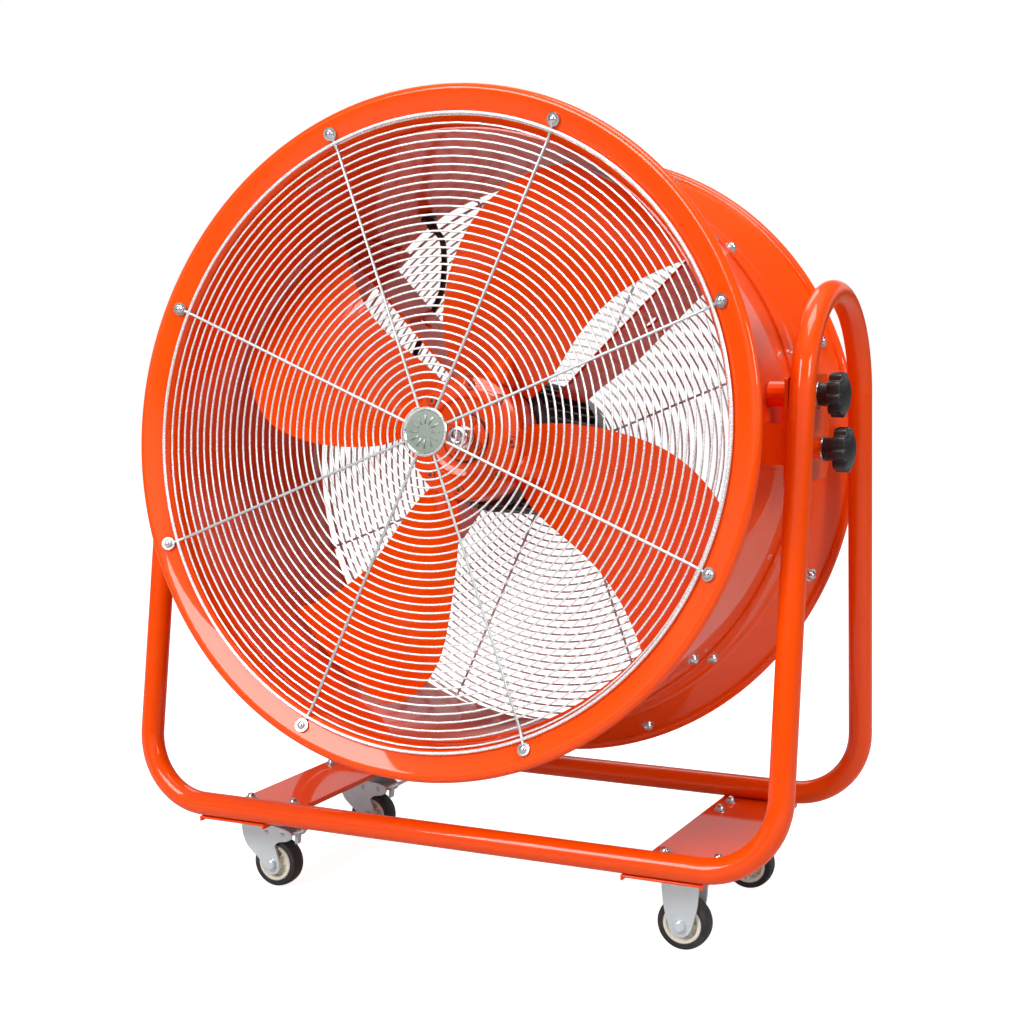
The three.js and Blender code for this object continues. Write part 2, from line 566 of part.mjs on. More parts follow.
function buildCasters() {
  for (const [tag, y] of [['front', frontCasterY], ['rear', rearCasterY]]) {
    const put = (g, dx = 0) => g.translate(-casterX + dx, y, 0);
    add(`swivel_plate_${tag}`, put(swivelPlate()), zinc, 0.9, 0.3);
    add(`swivel_fork_${tag}`, put(swivelFork()), zinc, 0.9, 0.3);
    add(`brake_pedal_${tag}`, put(brakePedal()), zinc, 0.9, 0.3);
    add(`left_core_${tag}`, put(wheelCore(), trail), cream, 0, 0.5);
    add(`left_tyre_${tag}`, put(wheelTyre(), trail), black, 0, 0.6);
    add(`left_axle_${tag}`, put(axle(), trail), zinc, 0.9, 0.3);
    const fix = (g) => g.translate(casterX, y, 0);
    add(`rigid_bracket_${tag}`, fix(rigidBracket()), zinc, 0.9, 0.3);
    add(`right_core_${tag}`, fix(wheelCore()), cream, 0, 0.5);
    add(`right_tyre_${tag}`, fix(wheelTyre()), black, 0, 0.6);
    add(`right_axle_${tag}`, fix(axle()), zinc, 0.9, 0.3);
  }
}

buildDrum();
buildGuards();
buildImpeller();
buildMotor();
buildArms();
buildElectrics();
buildPivots();
buildCradle();
buildCasters();

export default group;
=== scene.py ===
import math
import bpy
import bmesh
from mathutils import Matrix, Vector


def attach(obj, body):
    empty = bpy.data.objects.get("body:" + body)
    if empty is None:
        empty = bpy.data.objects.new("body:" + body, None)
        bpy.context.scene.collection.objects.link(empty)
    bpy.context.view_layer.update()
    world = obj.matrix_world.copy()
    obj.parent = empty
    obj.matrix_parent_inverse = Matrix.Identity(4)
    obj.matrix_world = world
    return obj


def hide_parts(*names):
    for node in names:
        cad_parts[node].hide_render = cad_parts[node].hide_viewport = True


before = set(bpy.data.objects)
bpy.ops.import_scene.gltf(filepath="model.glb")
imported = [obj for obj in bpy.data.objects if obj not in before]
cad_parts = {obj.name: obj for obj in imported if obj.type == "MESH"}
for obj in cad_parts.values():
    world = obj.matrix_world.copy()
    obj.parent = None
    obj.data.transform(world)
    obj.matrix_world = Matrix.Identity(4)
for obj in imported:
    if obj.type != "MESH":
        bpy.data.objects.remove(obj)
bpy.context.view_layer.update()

mm = 0.001
pi = math.pi

# the drum's own frame: axis along Y, front at minus Y, sizes in millimetres
drumPlace = {"tilt": -7.18, "axisHeight": 497}
drumFrame = Matrix.Translation((0, 0, drumPlace["axisHeight"])) @ Matrix.Rotation(
    math.radians(drumPlace["tilt"]), 4, "X")


# ---- shapes: each is (points, faces), in millimetres ----
def joined(*shapes):
    points, faces = [], []
    for p, f in shapes:
        faces += [[i + len(points) for i in face] for face in f]
        points += p
    return points, faces


def changed(shape, matrix):
    return [matrix @ Vector(p) for p in shape[0]], shape[1]


def moved(shape, x=0, y=0, z=0):
    return changed(shape, Matrix.Translation((x, y, z)))


def spun(shape, degrees, axis):
    return changed(shape, Matrix.Rotation(math.radians(degrees), 4, axis))


def atAngle(shape, degrees):  # a piece made along +Z goes to this angle, from +X towards +Z
    return spun(shape, 90 - degrees, "Y")


def ringOf(shape, count, start=0.0):
    return joined(*[atAngle(shape, start + 360 * i / count) for i in range(count)])


def mirrored(shape):
    return [Vector((-p[0], p[1], p[2])) for p in shape[0]], [list(reversed(f)) for f in shape[1]]


def lathe(profile, steps, closed=False):  # (radius, y) pairs turned about Y
    points, rings = [], []
    for r, y in profile:
        if r < 1e-6:
            rings.append([len(points)] * steps)
            points.append(Vector((0, y, 0)))
        else:
            rings.append([len(points) + i for i in range(steps)])
            points += [Vector((r * math.cos(2 * pi * i / steps), y, r * math.sin(2 * pi * i / steps)))
                       for i in range(steps)]
    faces = []
    last = len(rings) if closed else len(rings) - 1
    for k in range(last):
        a, b = rings[k], rings[(k + 1) % len(rings)]
        for i in range(steps):
            j = (i + 1) % steps
            face = []
            for v in (a[i], a[j], b[j], b[i]):
                if v not in face:
                    face.append(v)
            if len(face) > 2:
                faces.append(face)
    return points, faces


def arc(cx, cy, r, a0, a1, steps):
    return [(cx + r * math.cos(math.radians(a0 + (a1 - a0) * i / steps)),
             cy + r * math.sin(math.radians(a0 + (a1 - a0) * i / steps))) for i in range(steps + 1)]


def tube(path, radius, sides, closed=False):
    path = [Vector(p) for p in path]
    count = len(path)
    tangents = []
    for i in range(count):
        if closed:
            t = path[(i + 1) % count] - path[i - 1]
        else:
            t = path[min(i + 1, count - 1)] - path[max(i - 1, 0)]
        tangents.append(t.normalized())
    side = tangents[0].orthogonal().normalized()
    sidesOut = []
    for i, t in enumerate(tangents):
        if i:
            side = (tangents[i - 1].rotation_difference(t) @ side)
            side = (side - t * side.dot(t)).normalized()
        sidesOut.append(side)
    twist = 0.0
    if closed:
        end = tangents[-1].rotation_difference(tangents[0]) @ sidesOut[-1]
        twist = math.atan2(tangents[0].dot(end.cross(sidesOut[0])), end.dot(sidesOut[0]))
    points = []
    for i, (p, t, s) in enumerate(zip(path, tangents, sidesOut)):
        s = Matrix.Rotation(twist * i / count, 3, t) @ s
        up = t.cross(s)
        points += [p + (s * math.cos(2 * pi * k / sides) + up * math.sin(2 * pi * k / sides)) * radius
                   for k in range(sides)]
    faces = []
    for i in range(count if closed else count - 1):
        a, b = i * sides, ((i + 1) % count) * sides
        faces += [[a + k, a + (k + 1) % sides, b + (k + 1) % sides, b + k] for k in range(sides)]
    if not closed:
        faces += [list(range(sides))[::-1], [(count - 1) * sides + k for k in range(sides)]]
    return points, faces


def slab(outline, x0, x1):  # an outline of (y, z) pairs, thick along X
    n = len(outline)
    points = [Vector((x0, y, z)) for y, z in outline] + [Vector((x1, y, z)) for y, z in outline]
    faces = [list(range(n))[::-1], [n + i for i in range(n)]]
    faces += [[i, (i + 1) % n, n + (i + 1) % n, n + i] for i in range(n)]
    return points, faces


def slabY(outline, y0, y1):  # an outline of (x, z) pairs, thick along Y
    points, faces = slab(outline, y0, y1)
    return [Vector((p[1], p[0], p[2])) for p in points], faces


def rounded(corners, radius, steps=4):  # an outline with each corner turned
    out = []
    n = len(corners)
    for i in range(n):
        p, a, b = Vector(corners[i]), Vector(corners[i - 1]), Vector(corners[(i + 1) % n])
        u, v = (a - p), (b - p)
        r = min(radius, u.length * 0.45, v.length * 0.45)
        u, v = u.normalized() * r, v.normalized() * r
        for k in range(steps + 1):
            t = k / steps
            out.append(tuple(p + u * (1 - t) ** 2 + v * t ** 2))
    return out


def smoothRow(rows, count):  # a smooth run through rows of numbers
    out = []
    for i in range(count):
        t = i * (len(rows) - 1) / (count - 1)
        k = min(int(t), len(rows) - 2)
        f = t - k
        p0, p1, p2, p3 = rows[max(k - 1, 0)], rows[k], rows[k + 1], rows[min(k + 2, len(rows) - 1)]
        out.append([0.5 * (2 * b + (c - a) * f + (2 * a - 5 * b + 4 * c - d) * f * f
                           + (3 * b - a - 3 * c + d) * f ** 3)
                    for a, b, c, d in zip(p0, p1, p2, p3)])
    return out


# ---- finishes ----
def newGroup(name, inputs, outputs):
    group = bpy.data.node_groups.new(name, "ShaderNodeTree")
    for title, kind, value in inputs:
        socket = group.interface.new_socket(title, in_out="INPUT", socket_type=kind)
        socket.default_value = value
    for title, kind in outputs:
        group.interface.new_socket(title, in_out="OUTPUT", socket_type=kind)
    return group, group.nodes.new("NodeGroupInput"), group.nodes.new("NodeGroupOutput")


def noise(nodes, links, scale, detail, vector):
    n = nodes.new("ShaderNodeTexNoise")
    n.inputs["Detail"].default_value = detail
    links.new(scale, n.inputs["Scale"])
    links.new(vector, n.inputs["Vector"])
    return n.outputs["Fac"]


def makeCoating():  # cloudy tone, small gloss changes and a sprayed skin
    group, start, end = newGroup(
        "sprayedCoat",
        [("Cloud Scale", "NodeSocketFloat", 7.0), ("Skin Scale", "NodeSocketFloat", 420.0),
         ("Skin Depth", "NodeSocketFloat", 0.04)],
        [("Cloud", "NodeSocketFloat"), ("Speck", "NodeSocketFloat"), ("Normal", "NodeSocketVector")])
    nodes, links = group.nodes, group.links
    place = nodes.new("ShaderNodeTexCoord").outputs["Object"]
    cloud = noise(nodes, links, start.outputs["Cloud Scale"], 4, place)
    speck = noise(nodes, links, start.outputs["Skin Scale"], 6, place)
    bump = nodes.new("ShaderNodeBump")
    bump.inputs["Distance"].default_value = 0.001
    links.new(start.outputs["Skin Depth"], bump.inputs["Strength"])
    links.new(speck, bump.inputs["Height"])
    links.new(cloud, end.inputs["Cloud"])
    links.new(speck, end.inputs["Speck"])
    links.new(bump.outputs["Normal"], end.inputs["Normal"])
    return group


def makeDust():  # a mask that gathers in patches
    group, start, end = newGroup(
        "settledDust", [("Patch Scale", "NodeSocketFloat", 30.0), ("Amount", "NodeSocketFloat", 0.3)],
        [("Mask", "NodeSocketFloat")])
    nodes, links = group.nodes, group.links
    place = nodes.new("ShaderNodeTexCoord").outputs["Object"]
    patches = noise(nodes, links, start.outputs["Patch Scale"], 8, place)
    ramp = nodes.new("ShaderNodeMapRange")
    ramp.inputs["From Min"].default_value = 0.52
    ramp.inputs["From Max"].default_value = 0.75
    links.new(patches, ramp.inputs["Value"])
    times = nodes.new("ShaderNodeMath")
    times.operation = "MULTIPLY"
    links.new(ramp.outputs["Result"], times.inputs[0])
    links.new(start.outputs["Amount"], times.inputs[1])
    links.new(times.outputs["Value"], end.inputs["Mask"])
    return group


coating = makeCoating()
dust = makeDust()


def finish(name, look):
    material = bpy.data.materials.new(name)
    material.use_nodes = True
    nodes, links = material.node_tree.nodes, material.node_tree.links
    shader = nodes["Principled BSDF"]
    coat = nodes.new("ShaderNodeGroup")
    coat.node_tree = coating
    coat.inputs["Cloud Scale"].default_value = look.get("cloud", 7)
    coat.inputs["Skin Scale"].default_value = look.get("skin", 400)
    coat.inputs["Skin Depth"].default_value = look.get("depth", 0.04)
    tone = nodes.new("ShaderNodeMix")
    tone.data_type = "RGBA"
    tone.inputs["A"].default_value = (*look["colour"], 1)
    tone.inputs["B"].default_value = (*look["other"], 1)
    links.new(coat.outputs["Cloud"], tone.inputs["Factor"])
    patch = nodes.new("ShaderNodeGroup")
    patch.node_tree = dust
    patch.inputs["Patch Scale"].default_value = look.get("patch", 30)
    patch.inputs["Amount"].default_value = look.get("dust", 0.1)
    dusty = nodes.new("ShaderNodeMix")
    dusty.data_type = "RGBA"
    dusty.inputs["B"].default_value = (*look.get("dustColour", (0.5, 0.47, 0.42)), 1)
    links.new(patch.outputs["Mask"], dusty.inputs["Factor"])
    links.new(tone.outputs["Result"], dusty.inputs["A"])
    links.new(dusty.outputs["Result"], shader.inputs["Base Color"])
    gloss = nodes.new("ShaderNodeMapRange")
    gloss.inputs["To Min"].default_value = look["rough"][0]
    gloss.inputs["To Max"].default_value = look["rough"][1]
    links.new(coat.outputs["Speck"], gloss.inputs["Value"])
    links.new(gloss.outputs["Result"], shader.inputs["Roughness"])
    links.new(coat.outputs["Normal"], shader.inputs["Normal"])
    shader.inputs["Metallic"].default_value = look.get("metal", 0)
    shader.inputs["Coat Weight"].default_value = look.get("coat", 0)
    shader.inputs["Coat Roughness"].default_value = look.get("coatRough", 0.05)
    shader.inputs["Specular IOR Level"].default_value = look.get("specular", 0.5)
    return material


looks = {
    "paint": {"colour": (0.93, 0.078, 0.0004), "other": (0.84, 0.06, 0.0003), "rough": (0.3, 0.42),
              "coat": 0.55, "coatRough": 0.03, "specular": 0.08, "dust": 0.003, "skin": 260, "depth": 0.012,
              "slot": "paint"},
    "wireZinc": {"colour": (0.92, 0.94, 0.94), "other": (0.8, 0.82, 0.83), "rough": (0.2, 0.34),
                 "metal": 0.55, "cloud": 30, "skin": 900, "slot": "wire_zinc"},
    "spokeZinc": {"colour": (0.62, 0.7, 0.72), "other": (0.5, 0.57, 0.59), "rough": (0.24, 0.4), "metal": 0.6,
                  "cloud": 30, "skin": 900, "slot": "wire_zinc"},
    "screwZinc": {"colour": (0.72, 0.74, 0.76), "other": (0.5, 0.52, 0.54), "rough": (0.18, 0.36), "metal": 1,
                  "cloud": 60, "skin": 1200, "slot": "wire_zinc"},
    "casterZinc": {"colour": (0.74, 0.83, 0.86), "other": (0.6, 0.69, 0.73), "rough": (0.22, 0.4),
                   "metal": 0.4, "cloud": 45, "skin": 700, "dust": 0.05, "slot": "caster_zinc"},
    "collarOrange": {"colour": (0.95, 0.17, 0.004), "other": (0.85, 0.13, 0.003), "rough": (0.4, 0.55),
                     "cloud": 60, "slot": "caster_zinc"},
    "shaftSteel": {"colour": (0.78, 0.79, 0.8), "other": (0.6, 0.61, 0.62), "rough": (0.12, 0.22), "metal": 1,
                   "cloud": 80, "skin": 1500, "slot": "shaft_steel"},
    "motorBlack": {"colour": (0.012, 0.013, 0.014), "other": (0.028, 0.03, 0.032), "rough": (0.24, 0.42),
                   "coat": 0.4, "skin": 300, "depth": 0.1, "slot": "motor_black"},
    "knobBlack": {"colour": (0.01, 0.01, 0.011), "other": (0.016, 0.016, 0.018), "rough": (0.3, 0.44),
                  "skin": 700, "depth": 0.12, "slot": "knob_black"},
    "wheelCream": {"colour": (0.86, 0.83, 0.72), "other": (0.76, 0.73, 0.62), "rough": (0.3, 0.45),
                   "cloud": 60, "dust": 0.1, "slot": "wheel_cream"},
    "tyreBlack": {"colour": (0.014, 0.014, 0.015), "other": (0.024, 0.024, 0.024), "rough": (0.42, 0.6),
                  "cloud": 60, "skin": 900, "depth": 0.2, "dust": 0.12, "slot": "tyre_black"},
    "leadBlack": {"colour": (0.01, 0.01, 0.01), "other": (0.018, 0.018, 0.018), "rough": (0.4, 0.55),
                  "slot": "lead_black"},
    "badgeFace": {"colour": (0.2, 0.23, 0.2), "other": (0.3, 0.34, 0.3), "rough": (0.25, 0.4), "metal": 0.6,
                  "cloud": 25, "slot": "badge_grey"},
    "badgeRim": {"colour": (0.75, 0.77, 0.74), "other": (0.6, 0.62, 0.6), "rough": (0.2, 0.3), "metal": 1,
                 "slot": "badge_grey"},
}
materials = {name: finish(name, look) for name, look in looks.items()}
print("finishes made:", len(materials))


# ---- pieces ----
def piece(name, shape, look, body, nodes=(), place=None, sharp=32, bevel=0.0, weld=True):
    points, faces = shape
    mesh = bpy.data.meshes.new(name)
    mesh.from_pydata([Vector(p) for p in points], [], faces)
    mesh.transform((Matrix.Scale(mm, 4)) @ (place or Matrix.Identity(4)))
    bm = bmesh.new()
    bm.from_mesh(mesh)
    if weld:
        bmesh.ops.remove_doubles(bm, verts=bm.verts, dist=1e-7)
    bmesh.ops.recalc_face_normals(bm, faces=bm.faces)
    bm.to_mesh(mesh)
    bm.free()
    mesh.shade_smooth()
    mesh.set_sharp_from_angle(angle=math.radians(sharp))
    obj = bpy.data.objects.new(name, mesh)
    bpy.context.scene.collection.objects.link(obj)
    mesh.materials.append(materials[look])
    if bevel:
        edge = obj.modifiers.new("edge", "BEVEL")
        edge.width = bevel * mm
        edge.segments = 2
        edge.limit_method = "ANGLE"
        edge.angle_limit = math.radians(35)
        edge.harden_normals = True
    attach(obj, body)
    if nodes:
        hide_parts(*nodes)
    return obj


def dress(node, look, bevel=0.6):  # a frame piece that stays as it is
    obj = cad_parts[node]
    obj.data.materials.clear()
    obj.data.materials.append(materials[look])
    edge = obj.modifiers.new("edge", "BEVEL")
    edge.width = bevel * mm
    edge.segments = 2
    edge.limit_method = "ANGLE"
    edge.angle_limit = math.radians(40)


# ---- drum ----
drum = {"inner": 310, "outer": 312, "front": -151, "back": 110, "steps": 224, "bead": 5.95, "beadAt": 344.2,
        "beadY": 174.4}


def makeDrum():
    shell = [(drum["inner"], drum["front"]), (drum["outer"], drum["front"]), (drum["outer"], drum["back"]),
             (drum["inner"], drum["back"])]
    piece("drumWall", lathe(shell, drum["steps"], True), "paint", "drum", ["drum_shell"], drumFrame)
    bead, at, by = drum["bead"], drum["beadAt"], drum["beadY"]
    face = [(312.3, -128), (312.3, -151), (313, -157), (314.4, -162.4), (316.8, -167.4), (320.2, -171.2),
            (323, -172.7), (334, -177), (339.6, -179.2)]
    front = face + arc(at, -by, bead, -104, 150, 14)
    front += [(338.2, -175.4), (334, -174.8), (324, -170.9), (321.6, -169.6), (318, -165.2), (315.6, -159),
              (314.6, -151), (314.4, -128)]
    piece("inletRing", lathe(front, drum["steps"], True), "paint", "drum", ["front_inlet_ring"], drumFrame)
    cone = [(314.4, 70), (314.6, 106), (315.6, 109.6), (317.6, 111.6), (319, 114), (319.4, 117.4),
            (320.6, 121), (339.4, 163), (341.4, 167.4)]
    back = cone + arc(at, by, bead, -110, 104, 14)
    back += [(340.4, 178.2), (341.4, 174), (339.6, 169), (319.2, 124.6), (316.6, 118.8), (314.2, 113),
             (312.3, 108), (312.3, 70)]
    piece("outletBell", lathe(back, drum["steps"], True), "paint", "drum", ["rear_outlet_bell"], drumFrame)
    seam = slab(rounded([(-127, 0), (69, 0), (69, 1.6), (-127, 1.6)], 0.7, 2), -3.2, 3.2)
    piece("drumSeam", atAngle(moved(seam, z=311.4), 262), "paint", "drum", (), drumFrame)


domeNut = [(0, 7.4), (2, 7.1), (3.8, 6), (5, 3.8), (5.4, 1.8), (7.6, 1.6), (7.8, 0.9), (7.8, 0)]


def dome(scale=1.0):
    return spun(lathe([(r * scale, y * scale) for r, y in domeNut], 24), 90, "X")


def makeFasteners():
    shapes = []
    for a in (45, 135, 225, 315):
        for r, y in ((311.9, 32), (314.4, 90)):
            shapes.append(atAngle(moved(dome(0.95), y=y, z=r), a))
    nut = spun(dome(), 24.9, "X")
    shapes.append(ringOf(moved(nut, y=152.6, z=334.4), 8, 22.5))
    piece("drumNuts", joined(*shapes), "screwZinc", "drum", (), drumFrame)


# ---- guards ----
guard = {"wire": 1.15, "spoke": 1.45, "turns": 35, "inner": 27.5, "outer": 320.5, "stepsPerTurn": 84,
         "badge": 25}


def spiral(y, startAngle, hand=1):
    path = []
    steps = guard["turns"] * guard["stepsPerTurn"]
    for i in range(steps + 1):
        t = i / steps
        a = math.radians(startAngle) + hand * 2 * pi * guard["turns"] * t
        r = guard["inner"] + (guard["outer"] - guard["inner"]) * t
        path.append((r * math.cos(a), y, r * math.sin(a)))
    return tube(path, guard["wire"], 6)


def hoop(r, y, wire, steps=160):
    turns = [2 * pi * i / steps for i in range(steps)]
    return tube([(r * math.cos(a), y, r * math.sin(a)) for a in turns], wire, 8, True)


def seatFrame(spec):  # where a spoke's eye and its screw sit on the sloping rim
    place = Matrix.Translation((0, spec["seat"][1], spec["seat"][0]))
    return place @ Matrix.Rotation(math.radians(spec["lean"]), 4, "X")


def spokeShape(spec):
    eye = changed(hoop(5.4, 0, 1.5, 24), seatFrame(spec))
    path = smoothRow([(0, y, r) for r, y in spec["spoke"]], 26)
    return ringOf(joined(tube(path, guard["spoke"], 10), eye), 8, 22.5)


def screwShape(spec):
    s = spec["side"]
    head = [(0, 5.4), (1.6, 5.3), (3.2, 4.5), (4.3, 2.9), (4.5, 1.5), (6.9, 1.4), (7, 0.5), (6.9, 0.2),
            (0, 0.2)]
    head = lathe([(r, y * s) for r, y in head], 20)
    return ringOf(changed(head, seatFrame(spec)), 8, 22.5)


frontGuard = {"wireY": -170.2, "rimY": -175.2, "badgeY": -175.5, "seat": (331, -177.6), "lean": 21.3,
              "side": -1,
              "spoke": [(14, -172.5), (60, -172.5), (180, -172.5), (290, -172.5), (311, -172.7),
                        (318, -174), (326.4, -176)]}
rearGuard = {"wireY": 163.6, "rimY": 161.6, "seat": (329.9, 157), "lean": -65, "side": 1,
             "spoke": [(14, 165.7), (60, 165.7), (180, 165.7), (290, 165.6), (308, 165), (318, 162.6),
                       (326, 159)]}


def makeGuards():
    for tag, spec in (("front", frontGuard), ("rear", rearGuard)):
        wires = joined(spiral(spec["wireY"], 112.5), hoop(guard["outer"] + 0.4, spec["rimY"], 1.7))
        piece(tag + "GuardWire", wires, "wireZinc", "drum", [tag + "_guard"], drumFrame, sharp=75, weld=False)
        piece(tag + "GuardSpokes", spokeShape(spec), "spokeZinc", "drum", (), drumFrame, sharp=75, weld=False)
        piece(tag + "GuardScrews", screwShape(spec), "screwZinc", "drum", (), drumFrame)
    r = guard["badge"]
    plate = [(0, 0.2), (r - 4, 0.2), (r - 3.4, 0.2), (r - 3.4, 1.6), (0, 1.6)]
    rim = [(r - 3.6, 2), (r - 0.8, 2), (r, 1.2), (r, -0.2), (r - 0.6, -0.9), (r - 2.6, -0.9), (r - 3.6, 0.3)]
    ribs = ringOf(slab(rounded([(-0.5, 8), (0.5, 8), (0.5, 17), (-0.5, 17)], 0.3, 2), -0.8, 0.8), 12)
    place = drumFrame @ Matrix.Translation((0, frontGuard["badgeY"], 0))
    piece("badgeFace", joined(lathe(plate, 64), ribs), "badgeFace", "drum", ["front_guard_badge"], place)
    piece("badgeRim", lathe(rim, 64, True), "badgeRim", "drum", (), place)
    print("guards made")


# ---- fan ----
fan = {"start": 66.5, "hub": 66, "midY": -66, "boltCircle": 55.5, "boltSpread": 19.8, "rows": 34, "chord": 18}
bladeRows = [  # radius, leading angle, leading y, trailing angle, trailing y, thickness
    [66.6, 27, -106, -25, -40, 6.4], [84, 31, -112, -26, -42, 6], [110, 31, -119, -24, -45, 5.4],
    [150, 28.5, -121, -20.5, -48, 4.8], [190, 25.2, -115, -19.5, -46, 4.4], [230, 21.4, -103, -21, -42, 4],
    [265, 16, -88, -23.4, -38, 3.6], [290, 10.4, -74, -25.4, -34, 3.3], [303, 5.4, -66, -26.4, -32, 3]]


def bladeShape():
    rows = smoothRow(bladeRows, fan["rows"])
    n = fan["chord"]
    points = []
    for side in (1, -1):
        for r, la, ly, ta, ty, thick in rows:
            for j in range(n + 1):
                t = j / n
                a = math.radians(ta + (la - ta) * t)
                camber = math.sin(pi * t) * (9 - 3 * min(max((r - 170) / 60, 0), 1))
                half = thick * 0.5 * (0.2 + 0.8 * math.sin(pi * (0.04 + 0.92 * t)))
                points.append(Vector((-r * math.sin(a), ty + (ly - ty) * t + camber + side * half,
                                      r * math.cos(a))))
    wide, deep = n + 1, fan["rows"]
    at = lambda s, i, j: s * wide * deep + i * wide + j
    faces = []
    for i in range(deep - 1):
        for j in range(n):
            faces.append([at(0, i, j), at(0, i + 1, j), at(0, i + 1, j + 1), at(0, i, j + 1)])
            faces.append([at(1, i, j), at(1, i, j + 1), at(1, i + 1, j + 1), at(1, i + 1, j)])
        for j in (0, n):
            faces.append([at(0, i, j), at(1, i, j), at(1, i + 1, j), at(0, i + 1, j)])
    for j in range(n):
        for i in (0, deep - 1):
            faces.append([at(0, i, j), at(0, i, j + 1), at(1, i, j + 1), at(1, i, j)])
    return points, faces


def makeFan():
    root = [(0, 34), (13, 34), (13, 66.4), (17, 67), (17.4, 69), (17, 72), (14.5, 78), (10.5, 86), (6, 95),
            (0, 100)]
    root = moved(spun(lathe(root, 40), 90, "X"), y=fan["midY"])
    for k in range(4):
        piece(f"bladeSheet{k + 1}", atAngle(joined(bladeShape(), root), fan["start"] + 90 * k), "paint",
              "fan", [f"blade_{k + 1}"], drumFrame, sharp=40)
    front = [(26.4, -84), (39, -84), (41, -84.8), (42.6, -87.6), (44, -88.5), (62.4, -88.5), (64.6, -87.8),
             (66, -85.4), (66, -66.4), (26.4, -66.4)]
    rear = [(26.4, -65.8), (66, -65.8), (66, -46.6), (64.6, -44.2), (62.4, -43), (26.4, -43)]
    piece("hubFront", lathe(front, 96, True), "paint", "fan", ["hub_front_half"], drumFrame)
    piece("hubRear", lathe(rear, 96, True), "paint", "fan", ["hub_rear_half"], drumFrame)
    bolt = lathe([(0, -0.2), (1.9, -0.2), (2.3, -1.6), (4.2, -1.6), (4.8, -1.1), (4.9, 0.8), (0, 0.8)], 24)
    # painted shade: a thin black ring round each hub bolt and a black disc in its socket stand in for the
    # shade in these recesses
    gap = joined(lathe([(4.9, -0.35), (6, -0.35), (6, 0.6), (4.9, 0.6)], 32, True),
                 lathe([(0, -0.35), (2, -0.35), (0, 0)], 12))
    spots = [fan["start"] + 90 * k + d * fan["boltSpread"] for k in range(4) for d in (-1, 1)]
    bolts = [atAngle(moved(bolt, y=-88.5, z=fan["boltCircle"]), a) for a in spots]
    paintedShadeRings = [atAngle(moved(gap, y=-88.5, z=fan["boltCircle"]), a) for a in spots]
    bush = [(12.3, -88), (24, -88), (25.6, -86.6), (26.1, -84), (26.1, -44), (12.3, -44)]
    # more painted shade: a black ring at the bush's edge and black rings round its grub screws
    paintedShadeRings.append(lathe([(24.6, -88.1), (25.8, -87), (26.3, -84.4), (26.3, -83), (24.6, -83)], 64, True))
    paintedShadeRings.append(ringOf(moved(changed(gap, Matrix.Scale(0.75, 4)), y=-88, z=18.6), 4, 62))
    grubs = ringOf(moved(changed(bolt, Matrix.Scale(0.75, 4)), y=-88, z=18.6), 4, 62)
    piece("hubBolts", joined(*bolts), "paint", "fan", (), drumFrame)
    # the painted shade rings, drawn in the black motor finish
    piece("hubPaintedShade", joined(*paintedShadeRings), "motorBlack", "fan", (), drumFrame)
    piece("taperBush", joined(lathe(bush, 64, True), grubs), "paint", "fan", ["taper_bush"], drumFrame)
    thread = [(r, -104.6 + 2.2 * i + y) for i in range(6)
              for r, y in ((12, 0), (12, 0.7), (10.9, 1.1), (10.9, 1.8))]
    shaft = [(0, -104), (2.2, -104), (3.2, -106), (5, -107), (9.8, -107), (10.8, -106.4)] + thread
    shaft += [(12, -91), (12, -14), (39.6, -14), (39.6, 96), (9, 96), (9, 112), (0, 112)]
    piece("fanShaft", lathe(shaft, 64), "shaftSteel", "fan", ["rotor_shaft"], drumFrame)
    print("fan made")


# ---- motor ----
motor = {"core": 66, "fin": 76, "fins": 44}


def makeMotor():
    outline = []
    for i in range(motor["fins"]):
        for f, r in ((0, motor["core"]), (0.4, motor["core"]), (0.5, motor["fin"] - 0.8),
                     (0.56, motor["fin"]), (0.64, motor["fin"]), (0.7, motor["fin"] - 0.8),
                     (0.8, motor["core"])):
            a = 2 * pi * (i + f) / motor["fins"]
            outline.append((r * math.cos(a), r * math.sin(a)))
    body = slabY(outline, -18, 104)
    piece("motorBody", body, "motorBlack", "drum", ["motor_body"], drumFrame, sharp=25)
    front = [(13, -34), (29, -34), (32, -33), (37, -30), (66, -26.4), (69.6, -24.6), (71, -22), (71, -18),
             (13, -18)]
    piece("motorNose", lathe(front, 80, True), "motorBlack", "drum", ["motor_front_cover"], drumFrame)
    cowl = [(69, 104.2), (76, 104.2), (76, 127), (75, 132), (72, 135.6), (67, 138), (60, 139.6)]
    for i in range(5):  # rings that are the cooling grille
        r = 56 - i * 9
        cowl += [(r, 140), (r - 1, 141.6), (r - 3.4, 141.8), (r - 4.4, 140.2), (r - 4.8, 137.6)]
    cowl += [(9, 140.4), (7, 141.8), (0, 142), (0, 124), (20, 124), (69, 122)]
    piece("motorCowl", lathe(cowl, 80), "motorBlack", "drum", ["motor_rear_cover"], drumFrame)
    for i in range(4):
        dress(f"motor_arm_{i + 1}", "paint", 0.5)
    # each point: angle, radius, y
    lead = [(119, 302.6, 80), (118.8, 288, 81), (118.6, 275, 86), (121.3, 258, 98), (124.6, 247, 110),
            (128.8, 239, 124), (135.3, 233, 134), (141, 226, 135), (146.3, 221, 134), (150, 214, 130),
            (156, 192, 120), (160, 160, 106), (160, 125, 94), (157, 100, 86), (155, 77, 82)]
    lead = [(r * math.cos(math.radians(a)), y, r * math.sin(math.radians(a))) for a, r, y in lead]
    piece("motorLead", tube(smoothRow(lead, 90), 3.5, 16), "leadBlack", "drum", ["motor_lead"], drumFrame)
    relief = [(3.6, 287), (5.4, 288), (6, 301), (9.4, 302), (9.4, 306), (7, 307), (7, 308.4), (3.6, 308.4)]
    relief = moved(spun(lathe(relief, 32, True), 90, "X"), y=80)
    piece("leadGland", atAngle(relief, 119), "knobBlack", "drum", ["lead_gland"], drumFrame)
    print("motor made")


# ---- terminal box ----
terminal = {"angle": 119, "top": 361.2}


